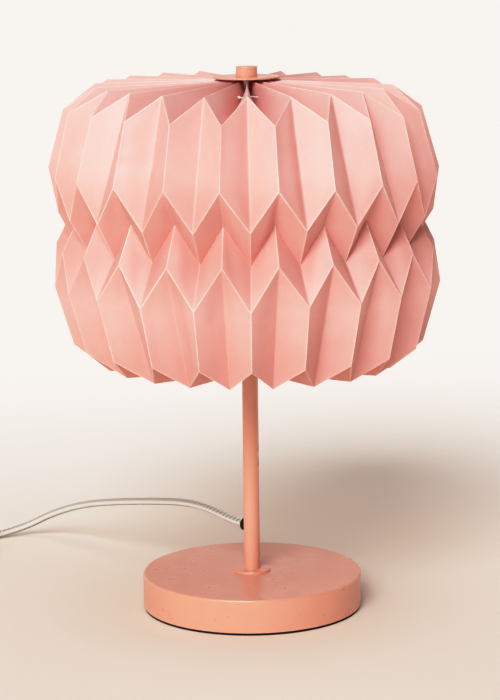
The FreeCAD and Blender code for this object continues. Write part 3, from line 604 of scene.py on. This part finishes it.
def paper_material():
    """Dyed craft paper: soft mottle, fibres and specks, pale lines where it is folded outwards (partly wear showing the
    white core, partly painted highlight), and painted shade deeper at the waist and towards the bottom.
    """
    m = Nodes("paper")
    ridge, hard = m.split(m.uvmap("folds"))[:2]
    soft, face = m.split(m.uvmap("waist"))[:2]
    at = m.coords()
    grain_at = m.node("ShaderNodeMapping", Vector=at, Scale=(1.0, 1.0, 0.22))
    cloud = m.noise(20, 3, 0.55, at)
    blotch = m.noise(85, 4, 0.62, at)
    fibre = m.noise(1500, 3, 0.6, grain_at)
    speck = m.noise(3800, 2, 0.5, at)
    tone = m.attr("tone")
    col = m.mix(m.between(cloud, 0.30, 0.70), PAPER_LO, PAPER_HI)
    col = m.mix(m.between(blotch, 0.35, 0.75, 0.0, 0.16), col, PAPER_PALE)
    col = m.mix(m.between(fibre, 0.42, 0.70, 0.0, 0.16), col, PAPER_PALE)
    col = m.mix(m.between(speck, 0.60, 0.76, 0.0, 0.20), col, PAPER_SPECK_AND_SHADE)
    col = m.mix(m.between(tone, -2.2, 2.2, 0.0, 0.20, smooth=False), col, PAPER_PALE)
    col = m.mix(m.between(face, 0.9, 1.1, 0.0, 0.12), col, PAPER_PALE)
    # painted shade: the paper is drawn deeper in a band round the waist
    from_waist = m.math("ABSOLUTE", m.math("SUBTRACT", m.split(at)[2], WAIST_Z))
    col = m.mix(m.between(from_waist, 0.018, 0.060, 0.48, 0.0), col, PAPER_SPECK_AND_SHADE)
    # painted shade: drawn deeper towards the bottom, where the sheet turns under
    col = m.mix(m.between(m.split(at)[2], 0.200, 0.270, 0.42, 0.0), col, PAPER_SPECK_AND_SHADE)
    # pale lines on the outward folds and zigzag creases, with a faint paler band beside them: partly wear showing the
    # paper's white core, partly painted highlight where the folds catch the light
    wear_and_glint_strength = m.math("MULTIPLY", m.between(m.noise(300, 4, 0.65, at), 0.34, 0.60, 0.55, 1.0),
                  m.between(m.noise(17, 2, 0.5, at), 0.36, 0.64, 0.45, 1.0))
    line = m.math("MAXIMUM", m.between(ridge, 0.20, 0.50, 0.92, 0.0), m.between(hard, 0.20, 0.52, 0.95, 0.0))
    line = m.math("MAXIMUM", line, m.between(soft, 0.15, 0.42, 0.45, 0.0))
    line = m.math("MULTIPLY", line, wear_and_glint_strength)
    near = m.math("MAXIMUM", m.between(ridge, 0.3, 2.2, 0.16, 0.0), m.between(hard, 0.3, 2.2, 0.16, 0.0))
    col = m.mix(m.math("MULTIPLY", near, m.between(blotch, 0.3, 0.7, 0.4, 1.0)), col, PAPER_PALE)
    col = m.mix(m.math("MULTIPLY", line, 0.86), col, PAPER_CREASE_AND_HIGHLIGHT)
    wavy = m.noise(46, 3, 0.5, at)
    tall = m.math("MULTIPLY_ADD", wavy, 3.0, m.math("MULTIPLY", fibre, 0.35))
    tall = m.math("ADD", tall, m.math("MULTIPLY", m.noise(170, 3, 0.55, at), 0.7))
    tall = m.math("MULTIPLY_ADD", line, 0.5, tall)
    m.shade(Base_Color=col, Roughness=m.between(fibre, 0.3, 0.7, 0.46, 0.58), Normal=m.bump(tall, 0.00009))
    m.bsdf.inputs["Specular IOR Level"].default_value = 0.55
    m.bsdf.inputs["Sheen Weight"].default_value = 0.05
    return m.mat


def paint_material():
    """Satin powder coat: fine peel, faint mottle and paler patches."""
    m = Nodes("paint_salmon")
    at = m.coords()
    cloud = m.noise(11, 3, 0.5, at)
    peel = m.noise(430, 1, 0.5, at)
    col = m.mix(m.between(cloud, 0.32, 0.68), PAINT_LO, PAINT_HI)
    col = m.mix(m.between(m.noise(70, 3, 0.6, at), 0.45, 0.75, 0.0, 0.12), col, PAINT_PALE)
    tall = m.math("MULTIPLY_ADD", m.noise(130, 1, 0.5, at), 2.0, peel)
    m.shade(Base_Color=col, Roughness=m.between(m.noise(55, 4, 0.6, at), 0.30, 0.70, 0.27, 0.36),
            Normal=m.bump(tall, 0.000005))
    m.bsdf.inputs["Specular IOR Level"].default_value = 0.75
    return m.mat


def braid_material():
    """Two sets of strands, two over and two under; one set cream, the other light and dark by turns."""
    m = Nodes("cord_textile")
    u, v = m.split(m.uvmap("braid"))[:2]
    at = m.coords()
    u = m.math("ADD", u, TURNED)
    turn_of = m.math("DIVIDE", v, LAY)
    sa_ = m.math("MULTIPLY", m.math("SUBTRACT", u, turn_of), float(CARRIERS))
    sb_ = m.math("MULTIPLY", m.math("ADD", u, turn_of), float(CARRIERS))
    # kept above zero so that the remainders below behave
    sa_ = m.math("ADD", sa_, 16.0 * CARRIERS * 16)
    fa, fb = m.math("FLOOR", sa_), m.math("FLOOR", sb_)
    ra, rb = m.math("SUBTRACT", sa_, fa), m.math("SUBTRACT", sb_, fb)
    turn4 = m.math("MULTIPLY", m.math("FRACT", m.math("DIVIDE", m.math("ADD", fa, fb), 4.0)), 4.0)
    on_a = m.math("LESS_THAN", turn4, 1.75)
    pair = m.math("GREATER_THAN", m.math("FRACT", m.math("DIVIDE", fb, 2.0)), 0.25)
    cross_ = m.math("ADD", m.math("MULTIPLY", on_a, ra), m.math("MULTIPLY", m.math("SUBTRACT", 1.0, on_a), rb))
    off = m.math("ABSOLUTE", m.math("SUBTRACT", cross_, 0.5))
    gap = m.between(off, 0.22, 0.44, 0.0, 1.0)
    yarn = m.noise(2300, 3, 0.6, at)
    fuzz = m.noise(6500, 2, 0.5, at)
    dark = m.mix(pair, (0.33, 0.31, 0.285), (0.66, 0.62, 0.56))
    col = m.mix(on_a, dark, (0.95, 0.92, 0.85))
    col = m.mix(m.between(yarn, 0.35, 0.7, 0.0, 0.25), col, (0.36, 0.34, 0.30))
    # painted shade: the gaps between strands are drawn dark
    col = m.mix(m.math("MULTIPLY", gap, 0.80), col, (0.22, 0.20, 0.18))
    # yarn filaments run along each strand
    fil_a = m.math("SINE", m.math("MULTIPLY", ra, 6.2832 * 5))
    fil_b = m.math("SINE", m.math("MULTIPLY", rb, 6.2832 * 5))
    fil = m.math("ADD", m.math("MULTIPLY", on_a, fil_a), m.math("MULTIPLY", m.math("SUBTRACT", 1.0, on_a), fil_b))
    tall = m.math("MULTIPLY_ADD", fil, 0.35, m.math("MULTIPLY", gap, -1.3))
    tall = m.math("MULTIPLY_ADD", fuzz, 0.6, tall)
    m.shade(Base_Color=col, Roughness=m.between(yarn, 0.3, 0.7, 0.78, 0.95), Normal=m.bump(tall, 0.00007))
    m.bsdf.inputs["Specular IOR Level"].default_value = 0.25
    m.bsdf.inputs["Sheen Weight"].default_value = 0.25
    m.bsdf.inputs["Sheen Roughness"].default_value = 0.5
    return m.mat


def string_material():
    m = Nodes("string_white")
    at = m.coords()
    ply = m.noise(1700, 3, 0.6, at)
    col = m.mix(m.between(ply, 0.3, 0.7), (0.78, 0.74, 0.65), (0.90, 0.88, 0.81))
    m.shade(Base_Color=col, Roughness=m.between(ply, 0.3, 0.7, 0.8, 0.95), Normal=m.bump(m.noise(5200, 2, 0.5, at), 0.00005))
    m.bsdf.inputs["Sheen Weight"].default_value = 0.2
    return m.mat


def metal_material(name, lo, hi, rough, brush=(1.0, 1.0, 0.06), tarnish=None, amount=0.35):
    """Plated or bare metal with a drawn grain, and stains where given."""
    m = Nodes(name)
    at = m.coords()
    drawn = m.noise(1400, 3, 0.6, m.node("ShaderNodeMapping", Vector=at, Scale=brush))
    cloud = m.noise(60, 4, 0.6, at)
    col = m.mix(m.between(drawn, 0.3, 0.7), lo, hi)
    if tarnish:
        col = m.mix(m.between(cloud, 0.48, 0.72, 0.0, amount), col, tarnish)
    r = m.math("ADD", m.between(drawn, 0.3, 0.7, rough - 0.05, rough + 0.06), m.between(cloud, 0.4, 0.7, 0.0, 0.08))
    m.shade(Base_Color=col, Roughness=r, Normal=m.bump(drawn, 0.00001))
    m.bsdf.inputs["Metallic"].default_value = 1.0
    return m.mat


def plastic_material(name, lo, hi, rough=0.36, pale=None, grain=1600, depth=0.000014, coat=0.0, glow=0.0):
    """Moulded plastic, ceramic or rubber: faint flow mottle, fine spark-eroded grain, paler patches where given."""
    m = Nodes(name)
    at = m.coords()
    cloud = m.noise(38, 3, 0.55, at)
    fine = m.noise(grain, 3, 0.6, at)
    col = m.mix(m.between(cloud, 0.3, 0.7), lo, hi)
    if pale:
        col = m.mix(m.between(m.noise(420, 4, 0.7, at), 0.62, 0.78, 0.0, 0.18), col, pale)
    m.shade(Base_Color=col, Roughness=m.between(fine, 0.3, 0.7, rough - 0.05, rough + 0.07), Normal=m.bump(fine, depth))
    if coat:
        m.bsdf.inputs["Coat Weight"].default_value = coat
        m.bsdf.inputs["Coat Roughness"].default_value = 0.08
    if glow:
        m.bsdf.inputs["Subsurface Weight"].default_value = glow
        m.bsdf.inputs["Subsurface Radius"].default_value = (0.004, 0.0035, 0.003)
        m.bsdf.inputs["Subsurface Scale"].default_value = 1.0
    return m.mat


def foam_material():
    """Closed-cell foam pad."""
    m = Nodes("foam_black")
    at = m.coords()
    cell = m.node("ShaderNodeTexVoronoi", "Distance", Vector=at, Scale=1100.0)
    col = m.mix(m.between(cell, 0.1, 0.7), (0.008, 0.0075, 0.007), (0.030, 0.028, 0.026))
    col = m.mix(m.between(m.noise(90, 3, 0.6, at), 0.5, 0.75, 0.0, 0.3), col, (0.055, 0.050, 0.045))
    m.shade(Base_Color=col, Roughness=m.between(cell, 0.1, 0.7, 0.75, 0.92), Normal=m.bump(cell, 0.00012))
    return m.mat


def cement_material():
    m = Nodes("cement")
    at = m.coords()
    sand = m.noise(700, 5, 0.7, at)
    cloud = m.noise(35, 4, 0.6, at)
    pores = m.node("ShaderNodeTexVoronoi", "Distance", Vector=at, Scale=240.0)
    col = m.mix(m.between(cloud, 0.3, 0.7), (0.30, 0.29, 0.27), (0.42, 0.41, 0.38))
    col = m.mix(m.between(sand, 0.5, 0.75, 0.0, 0.5), col, (0.20, 0.19, 0.18))
    # painted shade: the pores are drawn dark
    col = m.mix(m.between(pores, 0.0, 0.14, 0.8, 0.0), col, (0.10, 0.095, 0.09))
    m.shade(Base_Color=col, Roughness=m.between(sand, 0.3, 0.7, 0.85, 0.97),
            Normal=m.bump(m.math("ADD", sand, m.between(pores, 0.0, 0.2)), 0.0003))
    return m.mat


def strap_material():
    """Hook-and-loop strap."""
    m = Nodes("tie_black")
    at = m.coords()
    loops_ = m.node("ShaderNodeTexVoronoi", "Distance", Vector=at, Scale=1500.0)
    rows_ = m.node("ShaderNodeTexWave", "Fac", Vector=m.node("ShaderNodeMapping", Vector=at, Rotation=(0, 0, 0.8)),
                   Scale=260.0, Distortion=4.0, Detail=2.0)
    col = m.mix(m.between(loops_, 0.1, 0.6), (0.010, 0.010, 0.011), (0.045, 0.044, 0.046))
    m.shade(Base_Color=col, Roughness=m.between(rows_, 0.2, 0.8, 0.80, 0.96),
            Normal=m.bump(m.math("ADD", loops_, m.math("MULTIPLY", rows_, 0.6)), 0.00016))
    m.bsdf.inputs["Sheen Weight"].default_value = 0.35
    return m.mat


# tones that were set by comparing renders
PAPER_LO, PAPER_HI = (0.78, 0.405, 0.370), (0.82, 0.437, 0.402)
# the paper's painted shade is deepest at the waist height below and shares its deep tone with the specks; the pale
# crease colour stands partly for a painted highlight
WAIST_Z = 0.323
PAPER_PALE, PAPER_SPECK_AND_SHADE, PAPER_CREASE_AND_HIGHLIGHT = (0.88, 0.58, 0.54), (0.62, 0.27, 0.23), (1.0, 0.88, 0.80)
PAINT_LO, PAINT_HI, PAINT_PALE = (0.755, 0.368, 0.274), (0.795, 0.388, 0.291), (0.86, 0.50, 0.40)
CREAM_LO, CREAM_HI, CREAM_PALE = (0.74, 0.72, 0.66), (0.80, 0.78, 0.72), (0.88, 0.87, 0.83)
FLOOR_NEAR, FLOOR_FAR = (0.84, 0.735, 0.645), (0.95, 0.865, 0.80)
SUNS = [("key", -15, 34, 3.08, (0.96, 0.98, 1.0), 30), ("low_fill", -42, 14, 0.78, (1.0, 0.86, 0.72), 44),
        ("top_fill", -5, 82, 0.95, (1.0, 0.95, 0.94), 40),
        ("back_left", -140, 40, 0.24, (1.0, 0.96, 0.92), 40), ("back_right", 140, 40, 0.24, (1.0, 0.96, 0.92), 40)]
SURROUND = 1.25
SKY, SKY_BACK, GLOW, GAIN, CONTRAST, KNEE = 0.09, 1.05, 0.28, 1.0, 1.5, 0.5
finish = {
    "foam_black": foam_material(),
    "paint_salmon": paint_material(),
    "cement": cement_material(),
    "zinc_steel": metal_material("zinc_steel", (0.55, 0.56, 0.55), (0.70, 0.71, 0.70), 0.32, tarnish=(0.58, 0.55, 0.42), amount=0.4),
    "rubber_black": plastic_material("rubber_black", (0.012, 0.011, 0.010), (0.020, 0.018, 0.017), 0.58, (0.05, 0.046, 0.043), 2400, 0.00003),
    "core_brown": plastic_material("core_brown", (0.135, 0.055, 0.025), (0.165, 0.070, 0.032), 0.42, (0.26, 0.14, 0.08)),
    "core_blue": plastic_material("core_blue", (0.020, 0.085, 0.300), (0.028, 0.105, 0.350), 0.42, (0.10, 0.20, 0.45)),
    "plastic_white": plastic_material("plastic_white", CREAM_LO, CREAM_HI, 0.38, CREAM_PALE),
    "ceramic_white": plastic_material("ceramic_white", (0.77, 0.75, 0.69), (0.84, 0.82, 0.77), 0.14, (0.90, 0.89, 0.86), 700, 0.00002, coat=0.5),
    "brass": metal_material("brass", (0.74, 0.53, 0.22), (0.86, 0.66, 0.31), 0.26, tarnish=(0.50, 0.30, 0.12), amount=0.45),
    "bulb_metal": metal_material("bulb_metal", (0.66, 0.66, 0.65), (0.82, 0.82, 0.81), 0.24, tarnish=(0.45, 0.43, 0.38), amount=0.3),
    "opal": plastic_material("opal", (0.86, 0.85, 0.81), (0.91, 0.90, 0.87), 0.20, None, 120, 0.00002, coat=0.25, glow=0.25),
    "paper_pink": paper_material(),
    "string_white": string_material(),
    "cord_textile": braid_material(),
    "tie_black": strap_material(),
    "plastic_switch": plastic_material("plastic_switch", CREAM_LO, CREAM_HI, 0.40, CREAM_PALE),
    "plastic_rocker": plastic_material("plastic_rocker", (0.70, 0.68, 0.62), (0.76, 0.74, 0.68), 0.30, CREAM_PALE, coat=0.1),
    "plastic_plug": plastic_material("plastic_plug", CREAM_LO, CREAM_HI, 0.44, CREAM_PALE, 1200, 0.00003),
    "pin_metal": metal_material("pin_metal", (0.66, 0.63, 0.57), (0.80, 0.77, 0.71), 0.22, brush=(1.0, 0.05, 1.0), tarnish=(0.50, 0.44, 0.32), amount=0.3),
}
shade.data.materials.append(finish["paper_pink"])
lead.data.materials.append(finish["cord_textile"])
string.data.materials.append(finish["string_white"])
strap.data.materials.append(finish["tie_black"])
for name, ob in nodes.items():
    for s in ob.material_slots:
        s.material = finish[s.material.name.split(".")[0]]

# ---------------------------------------------------------------------------
# Floor, light, tone
# ---------------------------------------------------------------------------
me = bpy.data.meshes.new("floor")
ring_r = [0.0, 0.25, 0.5, 0.8, 1.2, 2.0, 4.0, 8.0, 16.0, 40.0]
verts, faces = [(0.0, 0.0, 0.0)], []
for r in ring_r[1:]:
    verts += [(r * math.cos(2 * math.pi * k / 48), r * math.sin(2 * math.pi * k / 48), 0.0) for k in range(48)]
faces += [(0, 1 + k, 1 + (k + 1) % 48) for k in range(48)]
for i in range(len(ring_r) - 2):
    p, q = 1 + 48 * i, 1 + 48 * (i + 1)
    faces += [(p + k, q + k, q + (k + 1) % 48, p + (k + 1) % 48) for k in range(48)]
me.from_pydata(verts, [], faces)
floor = bpy.data.objects.new("floor", me)
scene.collection.objects.link(floor)
m = Nodes("floor")
far = m.node("ShaderNodeVectorMath", "Value", props={"operation": "LENGTH"}, i0=m.coords())
speckle = m.noise(1100, 3, 0.6)
tint = m.mix(m.between(far, 0.22, 0.62), FLOOR_NEAR, FLOOR_FAR)
tint = m.mix(m.between(speckle, 0.45, 0.75, 0.0, 0.05), tint, (1.0, 0.97, 0.92))
m.shade(Base_Color=tint, Roughness=m.between(speckle, 0.3, 0.7, 0.60, 0.72))
m.bsdf.inputs["Specular IOR Level"].default_value = 0.2
m.shade(Emission_Color=(1.0, 0.93, 0.87), Emission_Strength=m.between(far, 0.45, 1.1, 0.0, GLOW))
me.materials.append(m.mat)

# pale surround past the floor's edge, seen but casting and lighting nothing
me = bpy.data.meshes.new("surround")
verts = [(39.5 * math.cos(2 * math.pi * k / 96), 39.5 * math.sin(2 * math.pi * k / 96), z) for z in (0.0, 60.0) for k in range(96)]
me.from_pydata(verts, [], [(k, (k + 1) % 96, 96 + (k + 1) % 96, 96 + k) for k in range(96)])
surround = bpy.data.objects.new("surround", me)
scene.collection.objects.link(surround)
for flag in ("visible_diffuse", "visible_glossy", "visible_transmission", "visible_volume_scatter", "visible_shadow"):
    setattr(surround, flag, False)
m = Nodes("surround")
m.shade(Base_Color=(0.0, 0.0, 0.0), Roughness=1.0, Emission_Color=m.mix(m.noise(0.05, 1), (1.0, 0.955, 0.915), (1.0, 0.96, 0.92)))
m.bsdf.inputs["Specular IOR Level"].default_value = 0.0
m.bsdf.inputs["Emission Strength"].default_value = SURROUND
me.materials.append(m.mat)


def sun(name, azimuth, elevation, strength, colour, spread):
    d = bpy.data.lights.new(name, "SUN")
    d.energy, d.color, d.angle = strength, colour, math.radians(spread)
    o = bpy.data.objects.new(name, d)
    scene.collection.objects.link(o)
    a, e = math.radians(azimuth), math.radians(elevation)
    to = Vector((math.sin(a) * math.cos(e), -math.cos(a) * math.cos(e), math.sin(e)))
    o.location = to * 3.0
    o.rotation_euler = to.to_track_quat("Z", "Y").to_euler()
    return o


for row in SUNS:
    sun(*row)
world = bpy.data.worlds.new("world")
world.use_nodes = True
wt = world.node_tree
back = wt.nodes["Background"]
back.inputs[0].default_value = (1.0, 0.95, 0.91, 1.0)


def step(kind, props=None, ins=()):
    n = wt.nodes.new(kind)
    for k, v in (props or {}).items():
        setattr(n, k, v)
    for k, v in ins:
        if isinstance(v, bpy.types.NodeSocket):
            wt.links.new(v, n.inputs[k])
        else:
            n.inputs[k].default_value = v
    return n


# a pale wall's worth of light low down behind the lamp, little from above
way = step("ShaderNodeSeparateXYZ", ins=[(0, step("ShaderNodeTexCoord").outputs["Generated"])])
behind = step("ShaderNodeMapRange", {"interpolation_type": "SMOOTHSTEP"}, [(0, way.outputs[1]), (1, -0.35), (2, 0.85)])
low = step("ShaderNodeMapRange", {"interpolation_type": "SMOOTHSTEP"}, [(0, way.outputs[2]), (1, 0.70), (2, 0.10)])
both = step("ShaderNodeMath", {"operation": "MULTIPLY"}, [(0, behind.outputs[0]), (1, low.outputs[0])])
level = step("ShaderNodeMath", {"operation": "MULTIPLY_ADD"}, [(0, both.outputs[0]), (1, SKY_BACK), (2, SKY)])
wt.links.new(level.outputs[0], back.inputs[1])
scene.world = world


def film(x):
    """Contrast and a soft shoulder, so that lit paper pales towards white as on film."""
    x = GAIN * x ** CONTRAST
    return x if x < KNEE else KNEE + (1 - KNEE) * (1 - math.exp(-(x - KNEE) / (1 - KNEE)))


scene.view_settings.view_transform = "Standard"
scene.view_settings.look = "None"
scene.view_settings.use_curve_mapping = True
curves = scene.view_settings.curve_mapping
WHITE = 2.4
curves.white_level = (WHITE, WHITE, WHITE)
line_c = curves.curves[3]
stops = [0.0, 0.015, 0.035, 0.065, 0.10, 0.14, 0.19, 0.25, 0.32, 0.40, 0.50, 0.62, 0.78, 1.0]
line_c.points[0].location = (0.0, 0.0)
line_c.points[1].location = (1.0, film(WHITE))
for t in stops[1:-1]:
    line_c.points.new(t, film(t * WHITE))
curves.update()
